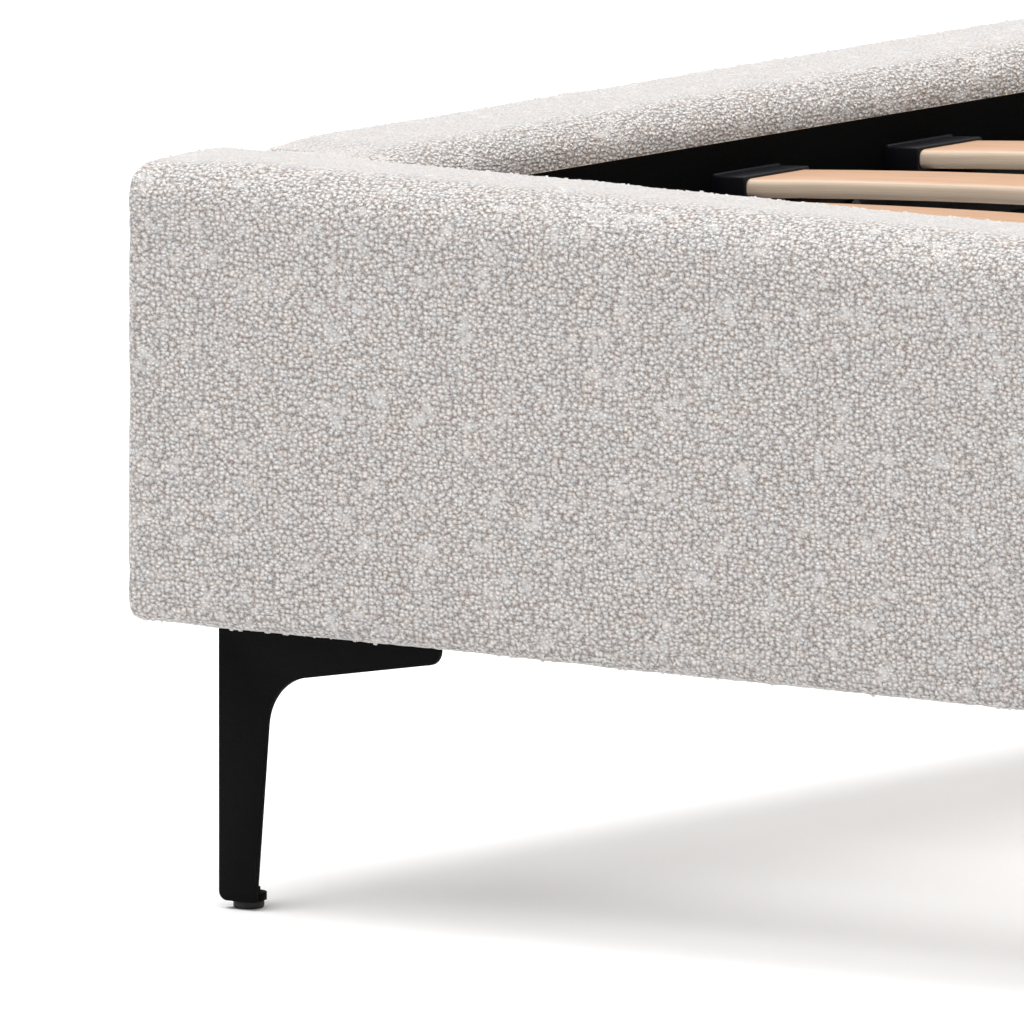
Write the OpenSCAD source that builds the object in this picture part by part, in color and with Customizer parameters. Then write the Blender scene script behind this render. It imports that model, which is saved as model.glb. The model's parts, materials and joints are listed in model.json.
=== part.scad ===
// Upholstered bed: padded rails and headboard, sprung slats, folded steel legs.
// The origin is on the floor at the middle of the bed. +Y points to the headboard.

/* [Mattress] */
// Width of the mattress
mattress_w = 1530; // [1200:10:1860]
// Length of the mattress
mattress_l = 2030; // [1690:10:2440]
// Space left around the mattress on each side
mattress_gap = 5; // [3:1:15]

/* [Rails] */
// Height of the rails' underside above the floor
floor_gap = 150; // [120:5:190]
// Height of the padded rails
rail_h = 240; // [200:5:290]
// Thickness of the padded rails, fabric to liner
rail_t = 100; // [92:1:120]
// Thickness of the cover fabric
cover_t = 3; // [2:0.5:4]
// Foam on the rails' outer faces and ends
rail_foam = 20; // [16:1:25]
// Foam on the rails' tops
rail_top_foam = 20; // [15:1:25]
// Thickness of the black liner
liner_t = 2; // [1:0.5:3]
// Structural inner board of a rail
inner_board_t = 22; // [18:1:27]
// Outer board of a rail
outer_board_t = 9; // [6:1:12]
// Height of the battens between the boards
batten_h = 35; // [30:1:45]

/* [Headboard] */
// Height of the headboard's top above the floor
headboard_h = 1120; // [930:10:1350]
// Thickness of the headboard
headboard_t = 100; // [94:1:120]
// Foam on the headboard's front
headboard_foam = 30; // [25:1:35]
// Front panel of the headboard
panel_t = 9; // [6:1:12]
// Width of the headboard's stiles and upper rails
timber_w = 70; // [60:1:90]
// Height of the headboard's bottom rail, which takes the brackets' bolts
bottom_rail_h = 170; // [160:5:200]
// Border of cover fabric around the back panel
back_border = 30; // [26:1:45]

/* [Slats] */
// Width of a slat
slat_w = 53; // [44:1:64]
// Thickness of a slat
slat_t = 10; // [8:1:12]
// Rise of a slat's middle above its ends
slat_bow = 15; // [10:1:20]
// Depth of the slat ends' tops below the rail top
slat_drop = 41; // [34:1:52]
// Middle of the first slat from the foot rail
first_slat = 143.5; // [110:0.5:170]
// Middle of the last slat from the headboard
last_slat = 96.5; // [80:0.5:120]
// Length of an end cap, out from the rail
cap_l = 21; // [18:1:26]
// Wall of an end cap
cap_wall = 2; // [1.5:0.5:4]
// Play between a slat and its cap
cap_play = 0.2; // [0.1:0.1:0.5]

/* [Ledges and beam] */
// Width of the ledge that the caps sit on
ledge_w = 30; // [26:1:40]
// Thickness of the ledge steel
ledge_t = 3; // [2:0.5:4]
// Width of the centre beam
beam_w = 50; // [44:1:60]
// Height of the centre beam
beam_h = 60; // [50:1:72]
// Wall of the centre beam
beam_wall = 2.5; // [2:0.5:4]
// Depth of a beam hanger's saddle
saddle_l = 45; // [38:1:54]
// Thickness of the hangers and corner brackets
bracket_t = 4; // [3:0.5:5]
// Length of a corner bracket's sides
bracket_l = 60; // [50:1:72]
// Height of a corner bracket
bracket_h = 100; // [84:1:110]

/* [Legs] */
// Steel sheet of the corner legs
leg_t = 3.5; // [3:0.5:5]
// Distance of a leg's fold from the bed's outer faces
leg_inset = 33; // [28:1:38]
// Length of a leg's arm under the rail
arm_l = 142; // [120:1:170]
// Width of a leg at the floor
leg_foot_w = 22.5; // [20.5:0.5:27]
// Width of a leg just below the arm
leg_neck_w = 30; // [27:1:36]
// Drop of the arm's lower edge where it leaves the leg
arm_root_h = 25.5; // [21:0.5:31]
// Drop of the arm's lower edge at its tip
arm_tip_h = 13; // [11:0.5:16]
// Radius between the leg and its arm
leg_fillet = 29; // [24:1:35]
// Width of the flange screwed to the rail
flange_w = 28; // [24:1:34]
// Radius of a centre leg's tube
centre_leg_r = 15; // [13:0.5:18]
// Wall of a centre leg's tube
centre_leg_wall = 1.5; // [1.2:0.1:2.5]

/* [Glides] */
// Radius of a corner leg's glide
glide_r = 8; // [7:0.5:10]
// Height of a glide's disc
glide_h = 4.2; // [3.5:0.1:5]
// Radius of a centre leg's glide
centre_glide_r = 14; // [12:0.5:17]
// Radius of the threaded stems
stem_r = 4; // [3.5:0.5:5]
// Distance of a corner leg's stem from the insides of its fold
stem_offset = 11; // [9:0.5:13]
// Length of the threaded stems above the disc
stem_l = 26; // [22:1:31]
// Radius of the round tab that holds a stem
tab_r = 9.3; // [8.5:0.1:10]
// Thickness of the tab
tab_t = 4; // [3:0.5:5]

/* [Fasteners] */
// Radius of the wood screws
screw_r = 2.5; // [2:0.5:3]
// Radius of the bolts
bolt_r = 4; // [3:0.5:5]
// Radial play of screws, bolts and stems in their holes
fit_gap = 0.05; // [0.02:0.01:0.1]

/* [Hidden] */

$fn = 48;
slat_count = 13;
arc_steps = 6;
over = 1;

inner_w = mattress_w + 2 * mattress_gap;
inner_l = mattress_l + 2 * mattress_gap;
bed_w = inner_w + 2 * rail_t;
bed_l = inner_l + rail_t + headboard_t;
rail_top = floor_gap + rail_h;
foot_y = -bed_l / 2;
inner_foot_y = foot_y + rail_t;
inner_head_y = bed_l / 2 - headboard_t;

// Corner radii of the padded shapes: lower outer, lower inner, upper inner, upper outer.
foot_profile_r = [9, 9, 40, 25];
side_profile_r = [9, 9, 23, 30];
foot_plan_r = [12, 12, 4, 4];
foot_end_r = [9, 9, 16, 16];
head_profile_r = [9, 9, 35, 22];
head_plan_r = [16, 16, 22, 22];
head_end_r = [9, 9, 30, 30];

// The timber core of a rail, measured from the rail's outer face and underside.
core_out = cover_t + rail_foam;
core_in = rail_t - liner_t;
core_low = cover_t;
core_high = rail_h - cover_t - rail_top_foam;
liner_low = 12;
lip_h = rail_h - core_high;

// The headboard's layers, measured from its back.
frame_in = headboard_t - cover_t - headboard_foam - panel_t;
panel_in = frame_in + panel_t;
head_h = headboard_h - floor_gap;
head_core_high = head_h - cover_t - rail_top_foam;
mid_rail_z = (head_core_high + bottom_rail_h - timber_w) / 2;

slat_top = rail_top - slat_drop;
slat_rise_in_cap = 2;
slat_pitch = (inner_l - first_slat - last_slat) / (slat_count - 1);
cap_floor = slat_top - slat_t - cap_play - cap_wall;
cap_high = slat_top + cap_play + slat_rise_in_cap + cap_wall;
cap_w = slat_w + 2 * (cap_play + cap_wall);
slat_end = inner_w / 2 - cap_wall - cap_play;
slat_mid = cap_wall / 2 + cap_play;
slat_l = slat_end - slat_mid;
slat_radius = (slat_l * slat_l / 4 + slat_bow * slat_bow) / (2 * slat_bow);
cap_r = 5;
bow_fn = 1440;

leg_low = glide_h + 0.3;
stem_at = leg_inset + stem_offset;
nut_r = 6;
nut_h = 2.5;
leg_toe_r = 5;
tab_cut = leg_toe_r + 1.5;
leg_screw_at = 14;
leg_screw_far = [85, 100];
leg_screw_l = 24;
bracket_top = cap_floor - ledge_w - 5;
bolt_zs = [bracket_top - 0.75 * bracket_h, bracket_top - 0.25 * bracket_h];
bolt_l = 36;
long_bolt_l = headboard_foam + panel_t + cover_t + 34;
ledge_screws_n = 8;
ledge_screw_l = 18;
beam_top = cap_floor;
hanger_bolt_x = beam_w / 2 + bracket_t + 12;
hanger_w = 2 * (hanger_bolt_x + 12);
centre_leg_ys = [-inner_l / 6, inner_l / 6];
plate_l = 76;
plate_t = 3;
plug_h = 22;

function arc(c, r, from) =
    [for (i = [0:arc_steps]) c + r * [cos(from + 90 * i / arc_steps), sin(from + 90 * i / arc_steps)]];

// A rectangle with its own radius at each corner, from the lower left one round.
function soft_rect(w, h, r) = concat(
    arc([r[0], r[0]], r[0], 180), arc([w - r[1], r[1]], r[1], 270),
    arc([w - r[2], h - r[2]], r[2], 0), arc([r[3], h - r[3]], r[3], 90)
);

function unit(v) = v / norm(v);
function inset_r(r, inset) = [for (v = r) max(v - inset, 1)];

module soft_rect_2d(w, h, r, inset)
    translate([inset, inset]) polygon(soft_rect(w - 2 * inset, h - 2 * inset, inset_r(r, inset)));

// A sheet shape in the Y-Z plane, drawn out along +X.
module along_x(from, l) translate([from, 0, 0]) rotate([90, 0, 90]) linear_extrude(l) children();

// A sheet shape in the X-Z plane, drawn out along +Y.
module along_y(from, l) translate([0, from + l, 0]) rotate([90, 0, 0]) linear_extrude(l) children();

// A padded block with rounded edges. Its depth runs along Y, from its outer face.
module soft_block(size, profile_r, plan_r, end_r, inset)
    intersection() {
        along_x(inset, size.x - 2 * inset) soft_rect_2d(size.y, size.z, profile_r, inset);
        translate([0, 0, -over]) linear_extrude(size.z + 2 * over)
            soft_rect_2d(size.x, size.y, plan_r, inset);
        along_y(-over, size.y + 2 * over) soft_rect_2d(size.x, size.z, end_r, inset);
    }

// Places its children at one corner, with X and Y measured in from the bed's outer faces.
module at_corner(sx, sy)
    mirror([sx > 0 ? 1 : 0, 0, 0]) mirror([0, sy > 0 ? 1 : 0, 0])
        translate([-bed_w / 2, -bed_l / 2, 0]) children();

module mirrored_x(on) mirror([on ? 1 : 0, 0, 0]) children();

// A pin with a round head below z = 0. With grow it cuts the hole for one.
module fastener(r, l, grow) {
    cylinder(r = r + grow, h = l + (grow > 0 ? 0.5 : 0));
    translate([0, 0, -0.9 * r]) cylinder(r = 2 * r, h = 0.9 * r);
}

module leg_screw_set(sx, sy, grow)
    at_corner(sx, sy) for (p = [
        [leg_screw_at, leg_screw_at], [leg_screw_far.x, leg_screw_at], [leg_screw_at, leg_screw_far.y]
    ])
        translate([leg_inset + p.x, leg_inset + p.y, floor_gap - leg_t])
            fastener(screw_r, leg_screw_l, grow);

module all_leg_screws(grow) for (sx = [-1, 1], sy = [-1, 1]) leg_screw_set(sx, sy, grow);

// The bolts of one corner bracket: two into the end piece, two into the side rail.
module bracket_bolt_set(sx, sy, grow)
    at_corner(sx, sy) for (z = bolt_zs) {
        end_t = sy > 0 ? headboard_t : rail_t;
        reach = bracket_t + bracket_l / 2;
        translate([rail_t + reach, end_t + bracket_t, z]) rotate([90, 0, 0])
            fastener(bolt_r, sy > 0 ? long_bolt_l : bolt_l, grow);
        translate([rail_t + bracket_t, end_t + reach, z]) rotate([0, -90, 0])
            fastener(bolt_r, bolt_l, grow);
    }

module hanger_bolt_set(sy, grow)
    for (sx = [-1, 1]) {
        wall_y = sy > 0 ? inner_head_y - bracket_t : inner_foot_y + bracket_t;
        translate([sx * hanger_bolt_x, wall_y, beam_top - beam_h / 2]) rotate([sy > 0 ? -90 : 90, 0, 0])
            fastener(bolt_r, sy > 0 ? long_bolt_l : bolt_l, grow);
    }

module all_bolts(grow) {
    for (sx = [-1, 1], sy = [-1, 1]) bracket_bolt_set(sx, sy, grow);
    for (sy = [-1, 1]) hanger_bolt_set(sy, grow);
    for (y = centre_leg_ys, s = [-1, 1])
        translate([0, y + s * (plate_l / 2 - 10), beam_top - beam_h - plate_t])
            fastener(screw_r, plate_t + beam_wall + 6, grow);
}

module ledge_screw_set(grow)
    for (i = [0:ledge_screws_n - 1])
        translate([
            -inner_w / 2 + ledge_t, inner_foot_y + inner_l * (i + 0.5) / ledge_screws_n,
            cap_floor - ledge_w / 2
        ])
            rotate([0, -90, 0]) fastener(screw_r, ledge_screw_l, grow);

// Two boards and two battens of a rail core, in the rail's own thickness and height.
module core_boards_2d() {
    translate([core_out, core_low]) square([outer_board_t, core_high - core_low]);
    translate([core_in - inner_board_t, core_low]) square([inner_board_t, core_high - core_low]);
    for (z = [core_low, core_high - batten_h])
        translate([core_out + outer_board_t, z])
            square([core_in - inner_board_t - core_out - outer_board_t, batten_h]);
}

module place_foot() translate([-bed_w / 2, foot_y, floor_gap]) children();

module foot_block(inset)
    soft_block([bed_w, rail_t, rail_h], foot_profile_r, foot_plan_r, foot_end_r, inset);

// The foot rail's cover wraps every edge and leaves a window for the lining.
module foot_shell() difference() {
    foot_block(0);
    foot_block(cover_t);
    translate([core_out, rail_t - cover_t - over, liner_low])
        cube([bed_w - 2 * core_out, cover_t + 2 * over, core_high - liner_low]);
}

module foot_rail_core() color("burlywood") difference() {
    place_foot() difference() {
        intersection() {
            along_x(core_out, bed_w - 2 * core_out) core_boards_2d();
            foot_block(0);
        }
        foot_shell();
    }
    all_leg_screws(fit_gap);
    all_bolts(fit_gap);
}

module foot_rail_foam() color("lightyellow") difference() {
    place_foot() difference() {
        foot_block(cover_t);
        translate([core_out, core_out, 0])
            cube([bed_w - 2 * core_out, rail_t, core_high]);
    }
}

module foot_rail_cover() color("gainsboro") difference() {
    place_foot() foot_shell();
    all_leg_screws(fit_gap);
}

module foot_rail_liner() color("black") difference() {
    place_foot() translate([core_out, core_in, liner_low])
        cube([bed_w - 2 * core_out, liner_t, core_high - liner_low]);
    all_bolts(fit_gap);
}

module side_extrude() translate([-bed_w / 2, 0, floor_gap]) along_y(inner_foot_y, inner_l) children();

// A side rail's cover in section, open where the lining sits.
module side_shell_2d() difference() {
    soft_rect_2d(rail_t, rail_h, side_profile_r, 0);
    soft_rect_2d(rail_t, rail_h, side_profile_r, cover_t);
    translate([rail_t - cover_t - over, liner_low])
        square([cover_t + 2 * over, core_high - liner_low]);
}

module side_rail_core(right) color("burlywood") mirrored_x(right) difference() {
    side_extrude() difference() {
        intersection() {
            core_boards_2d();
            soft_rect_2d(rail_t, rail_h, side_profile_r, 0);
        }
        side_shell_2d();
    }
    all_leg_screws(fit_gap);
    all_bolts(fit_gap);
    ledge_screw_set(fit_gap);
}

module side_rail_foam(right) color("lightyellow") mirrored_x(right) side_extrude() difference() {
    soft_rect_2d(rail_t, rail_h, side_profile_r, cover_t);
    translate([core_out, 0]) square([rail_t, core_high]);
}

module side_rail_cover(right) color("gainsboro") mirrored_x(right) difference() {
    side_extrude() side_shell_2d();
    all_leg_screws(fit_gap);
}

module side_rail_liner(right) color("black") mirrored_x(right) difference() {
    side_extrude() translate([core_in, liner_low]) square([liner_t, core_high - liner_low]);
    all_bolts(fit_gap);
    ledge_screw_set(fit_gap);
}

// Places its children at the head end, with Y measured in from the headboard's back.
module place_head() mirror([0, 1, 0]) translate([-bed_w / 2, -bed_l / 2, floor_gap]) children();

module head_block(inset)
    soft_block([bed_w, headboard_t, head_h], head_profile_r, head_plan_r, head_end_r, inset);

module head_timber(from, size) color("burlywood") difference() {
    place_head() intersection() {
        translate([from.x, cover_t, from.y]) cube([size.x, frame_in - cover_t, size.y]);
        head_block(cover_t);
    }
    all_leg_screws(fit_gap);
    all_bolts(fit_gap);
}

module headboard_stile(right)
    head_timber([right ? bed_w - core_out - timber_w : core_out, core_low],
                [timber_w, head_core_high - core_low]);

module headboard_cross_rail(z, h)
    head_timber([core_out + timber_w, z], [bed_w - 2 * (core_out + timber_w), h]);

module headboard_panel() color("tan") difference() {
    place_head() translate([core_out, frame_in, core_low])
        cube([bed_w - 2 * core_out, panel_t, head_core_high - core_low]);
    all_bolts(fit_gap);
}

module headboard_foam() color("lightyellow") difference() {
    place_head() difference() {
        head_block(cover_t);
        translate([core_out, 0, 0]) cube([bed_w - 2 * core_out, panel_in, head_core_high]);
    }
    all_bolts(fit_gap);
}

module headboard_cover() color("gainsboro") difference() {
    place_head() difference() {
        head_block(0);
        head_block(cover_t);
        translate([back_border, -over, back_border])
            cube([bed_w - 2 * back_border, cover_t + over, head_h - 2 * back_border]);
    }
    all_leg_screws(fit_gap);
    all_bolts(fit_gap);
}

module headboard_back_panel() color("gainsboro")
    place_head() translate([back_border, 0, back_border])
        cube([bed_w - 2 * back_border, cover_t, head_h - 2 * back_border]);

module slat_ledge(right) color("dimgray") mirrored_x(right) difference() {
    translate([-inner_w / 2, inner_foot_y + over, cap_floor - ledge_w]) difference() {
        cube([ledge_w, inner_l - 2 * over, ledge_w]);
        translate([ledge_t, -over, -over]) cube([ledge_w, inner_l, ledge_w - ledge_t + over]);
    }
    ledge_screw_set(fit_gap);
}

module centre_beam() color("dimgray") difference() {
    along_y(inner_foot_y + bracket_t + over, inner_l - 2 * (bracket_t + over))
        translate([-beam_w / 2, beam_top - beam_h]) difference() {
            square([beam_w, beam_h]);
            translate([beam_wall, beam_wall]) square([beam_w - 2 * beam_wall, beam_h - 2 * beam_wall]);
        }
    all_bolts(fit_gap);
}

// A plate on the end piece with an open saddle that holds the beam's end.
module beam_hanger() difference() {
    union() {
        translate([-hanger_w / 2, 0, beam_top - beam_h - bracket_t])
            cube([hanger_w, bracket_t, beam_h + bracket_t]);
        translate([-beam_w / 2 - bracket_t, 0, beam_top - beam_h - bracket_t])
            cube([beam_w + 2 * bracket_t, saddle_l, beam_h]);
    }
    translate([-beam_w / 2, bracket_t, beam_top - beam_h]) cube([beam_w, saddle_l, beam_h + over]);
}

module beam_hangers() color("dimgray") difference() {
    union() {
        translate([0, inner_foot_y, 0]) beam_hanger();
        mirror([0, 1, 0]) translate([0, -inner_head_y, 0]) beam_hanger();
    }
    all_bolts(fit_gap);
}

// A threaded hole for a glide's stem.
module stem_hole(l) translate([0, 0, -over]) cylinder(r = stem_r + fit_gap, h = l + 2 * over);

module centre_leg(y) color("dimgray") difference() {
    plate_z = beam_top - beam_h - plate_t;
    low = glide_h + 2;
    translate([0, y, 0]) {
        translate([-beam_w / 2, -plate_l / 2, plate_z]) cube([beam_w, plate_l, plate_t]);
        difference() {
            translate([0, 0, low]) cylinder(r = centre_leg_r, h = plate_z - low);
            translate([0, 0, low + plug_h])
                cylinder(r = centre_leg_r - centre_leg_wall, h = plate_z - low - plug_h);
            translate([0, 0, low]) stem_hole(plug_h);
        }
    }
    all_bolts(fit_gap);
}

// The outline of one wing of a leg: width out from the fold, height down from the rail.
function wing_outline() = let (
    foot_h = floor_gap - leg_low,
    foot = [leg_foot_w, -foot_h],
    neck = [leg_neck_w, -0.4 * foot_h],
    root = [leg_neck_w + leg_fillet, -arm_root_h],
    tip = [arm_l, -arm_tip_h],
    down = unit(foot - neck),
    out = unit(tip - root),
    t = ((root - neck).x * out.y - (root - neck).y * out.x) / (down.x * out.y - down.y * out.x),
    corner = neck + t * down,
    half = acos(down * out) / 2,
    centre = corner + unit(down + out) * leg_fillet / sin(half),
    start = atan2(-down.x, down.y) - 180,
    sweep = 180 - 2 * half,
    fillet = [for (i = [0:16])
        centre + leg_fillet * [cos(180 + start - sweep * i / 16), sin(180 + start - sweep * i / 16)]]
) concat(
    [[0, 0]], arc([leg_toe_r, -foot_h + leg_toe_r], leg_toe_r, 180), [foot], fillet,
    arc([arm_l - 8, -arm_tip_h + 8], 8, 270), [[arm_l, 0]]
);

// The tab that holds the clinch nut, cut back from the fold so that it stays behind the rounded toe.
module nut_tab() {
    to_fold = stem_at - leg_inset;
    circle(r = tab_r);
    translate([-to_fold, -to_fold])
        polygon([[tab_cut, 0], [to_fold, 0], [to_fold, to_fold], [0, to_fold], [0, tab_cut]]);
}

module corner_leg(sx, sy) color([0.07, 0.07, 0.07]) difference() {
    at_corner(sx, sy) {
        translate([leg_inset, leg_inset, 0]) {
            translate([0, 0, floor_gap]) {
                along_y(0, leg_t) polygon(wing_outline());
                along_x(0, leg_t) polygon(wing_outline());
                translate([0, 0, -leg_t]) linear_extrude(leg_t) {
                    square([arm_l - 6, flange_w]);
                    square([flange_w, arm_l - 6]);
                }
            }
        }
        translate([stem_at, stem_at, leg_low]) difference() {
            union() {
                linear_extrude(tab_t) nut_tab();
                translate([0, 0, tab_t]) cylinder(r = nut_r, h = nut_h);
            }
            stem_hole(tab_t + nut_h);
        }
    }
    leg_screw_set(sx, sy, fit_gap);
}

module glide(r) {
    cylinder(r1 = r - 1, r2 = r, h = 1);
    translate([0, 0, 1]) cylinder(r = r, h = glide_h - 1);
    translate([0, 0, glide_h]) cylinder(r = stem_r, h = stem_l);
}

module corner_glide(sx, sy) color("black") at_corner(sx, sy) translate([stem_at, stem_at, 0]) glide(glide_r);

module centre_glide(y) color("black") translate([0, y, 0]) glide(centre_glide_r);

module corner_brackets() color("dimgray") difference() {
    for (sx = [-1, 1], sy = [-1, 1]) at_corner(sx, sy)
        translate([rail_t, sy > 0 ? headboard_t : rail_t, bracket_top - bracket_h]) difference() {
            cube([bracket_l, bracket_l, bracket_h]);
            translate([bracket_t, bracket_t, -over]) cube([bracket_l, bracket_l, bracket_h + 2 * over]);
        }
    all_bolts(fit_gap);
}

module frame_bolts() color("silver") all_bolts(0);

module leg_screws() color("silver") all_leg_screws(0);

module ledge_screws() color("silver") {
    ledge_screw_set(0);
    mirror([1, 0, 0]) ledge_screw_set(0);
}

function slat_y(i) = inner_foot_y + first_slat + i * slat_pitch;

module slat_half(i) translate([0, slat_y(i) - slat_w / 2, 0]) along_y(0, slat_w) intersection() {
    translate([slat_mid + slat_l / 2, slat_top + slat_bow - slat_radius]) difference() {
        circle(r = slat_radius, $fn = bow_fn);
        circle(r = slat_radius - slat_t, $fn = bow_fn);
    }
    translate([slat_mid, slat_top - slat_t - over]) square([slat_l, slat_bow + slat_t + 2 * over]);
}

module slat(i) color("burlywood") {
    slat_half(i);
    mirror([1, 0, 0]) slat_half(i);
}

// A cap's outline seen from above, from one end face to the other.
module cap_block(from, l, i)
    translate([from, slat_y(i) - cap_w / 2, cap_floor])
        linear_extrude(cap_high - cap_floor) polygon(soft_rect(l, cap_w, [cap_r, cap_r, cap_r, cap_r]));

module cap_pocket(from, l, i)
    translate([from, slat_y(i) - slat_w / 2 - cap_play, slat_top - slat_t - cap_play])
        cube([l, slat_w + 2 * cap_play, slat_t + 2 * cap_play + slat_rise_in_cap]);

module slat_caps_side(right) color("dimgray") mirrored_x(right)
    for (i = [0:slat_count - 1]) difference() {
        cap_block(-inner_w / 2, cap_l, i);
        cap_pocket(-inner_w / 2 + cap_wall, cap_l, i);
    }

module slat_caps_centre() color("dimgray")
    for (i = [0:slat_count - 1]) difference() {
        cap_block(-cap_l, 2 * cap_l, i);
        for (from = [cap_wall / 2, -cap_wall / 2 - cap_l]) cap_pocket(from, cap_l, i);
    }

foot_rail_core();
foot_rail_foam();
foot_rail_cover();
foot_rail_liner();
side_rail_core(false);  // left_rail_core
side_rail_foam(false);  // left_rail_foam
side_rail_cover(false);  // left_rail_cover
side_rail_liner(false);  // left_rail_liner
side_rail_core(true);  // right_rail_core
side_rail_foam(true);  // right_rail_foam
side_rail_cover(true);  // right_rail_cover
side_rail_liner(true);  // right_rail_liner
headboard_stile(false);  // headboard_stile_left
headboard_stile(true);  // headboard_stile_right
headboard_cross_rail(head_core_high - timber_w, timber_w);  // headboard_top_rail
headboard_cross_rail(mid_rail_z, timber_w);  // headboard_mid_rail
headboard_cross_rail(core_low, bottom_rail_h);  // headboard_bottom_rail
headboard_panel();
headboard_foam();
headboard_cover();
headboard_back_panel();
slat_ledge(false);  // slat_ledge_left
slat_ledge(true);  // slat_ledge_right
centre_beam();
beam_hangers();
centre_leg(centre_leg_ys[0]);  // centre_leg_foot
centre_leg(centre_leg_ys[1]);  // centre_leg_head
corner_leg(-1, -1);  // leg_foot_left
corner_leg(1, -1);  // leg_foot_right
corner_leg(-1, 1);  // leg_head_left
corner_leg(1, 1);  // leg_head_right
corner_glide(-1, -1);  // glide_foot_left
corner_glide(1, -1);  // glide_foot_right
corner_glide(-1, 1);  // glide_head_left
corner_glide(1, 1);  // glide_head_right
centre_glide(centre_leg_ys[0]);  // glide_centre_foot
centre_glide(centre_leg_ys[1]);  // glide_centre_head
corner_brackets();
frame_bolts();
leg_screws();
ledge_screws();
slat_caps_side(false);  // slat_caps_left
slat_caps_side(true);  // slat_caps_right
slat_caps_centre();
slat(0);  // slat_01
slat(1);  // slat_02
slat(2);  // slat_03
slat(3);  // slat_04
slat(4);  // slat_05
slat(5);  // slat_06
slat(6);  // slat_07
slat(7);  // slat_08
slat(8);  // slat_09
slat(9);  // slat_10
slat(10);  // slat_11
slat(11);  // slat_12
slat(12);  // slat_13
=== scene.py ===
"""Looks of an upholstered bed: padded boucle covers, sprung slats, steel legs and their finishes.

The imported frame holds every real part. This script dresses it: padded covers with loops of yarn
are built over the rails and the headboard, the wood, plastic and steel parts get eased edges, and
every surface gets a procedural finish. All lengths are metres in the frame's own axes.
"""

from __future__ import annotations

import json
import logging
import math
from dataclasses import dataclass, field
from enum import Enum
from typing import Callable, Sequence, Union

import bpy
import numpy as np
from mathutils import Matrix, Vector


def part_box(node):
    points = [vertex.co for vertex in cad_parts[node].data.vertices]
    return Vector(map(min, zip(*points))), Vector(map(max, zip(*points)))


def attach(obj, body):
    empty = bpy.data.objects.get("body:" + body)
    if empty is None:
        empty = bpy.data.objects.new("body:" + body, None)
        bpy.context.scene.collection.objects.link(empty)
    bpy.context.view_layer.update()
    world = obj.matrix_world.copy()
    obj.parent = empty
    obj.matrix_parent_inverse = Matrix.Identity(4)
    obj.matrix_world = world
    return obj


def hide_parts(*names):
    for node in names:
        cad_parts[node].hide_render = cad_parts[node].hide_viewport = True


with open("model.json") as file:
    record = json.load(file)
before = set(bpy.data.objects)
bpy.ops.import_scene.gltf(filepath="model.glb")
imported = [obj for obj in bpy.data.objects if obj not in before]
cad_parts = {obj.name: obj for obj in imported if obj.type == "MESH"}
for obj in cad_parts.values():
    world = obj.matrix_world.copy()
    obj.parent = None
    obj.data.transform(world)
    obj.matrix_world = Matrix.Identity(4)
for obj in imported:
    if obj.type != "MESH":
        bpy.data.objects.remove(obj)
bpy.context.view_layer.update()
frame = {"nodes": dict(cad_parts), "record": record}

log = logging.getLogger("bed")
MM = 0.001
BED = "bed"
Number = Union[float, "Value"]
Colour = tuple[float, float, float]
Span = tuple[float, float]
SLAT_ROWS = 13


# ---------------------------------------------------------------- shader maths


class Value:
    """A number socket that takes part in Python expressions, each adding its Math node."""

    def __init__(self, graph: "Graph", socket: bpy.types.NodeSocket) -> None:
        """Wraps one output socket of a graph's node."""
        self.graph = graph
        self.socket = socket

    def __add__(self, other: Number) -> "Value":
        """Sum."""
        return self.graph.math("ADD", self, other)

    def __sub__(self, other: Number) -> "Value":
        """Difference."""
        return self.graph.math("SUBTRACT", self, other)

    def __rsub__(self, other: Number) -> "Value":
        """Difference from a plain number."""
        return self.graph.math("SUBTRACT", other, self)

    def __mul__(self, other: Number) -> "Value":
        """Product."""
        return self.graph.math("MULTIPLY", self, other)

    def __pow__(self, other: Number) -> "Value":
        """Power."""
        return self.graph.math("POWER", self, other)

    __radd__ = __add__
    __rmul__ = __mul__


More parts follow.
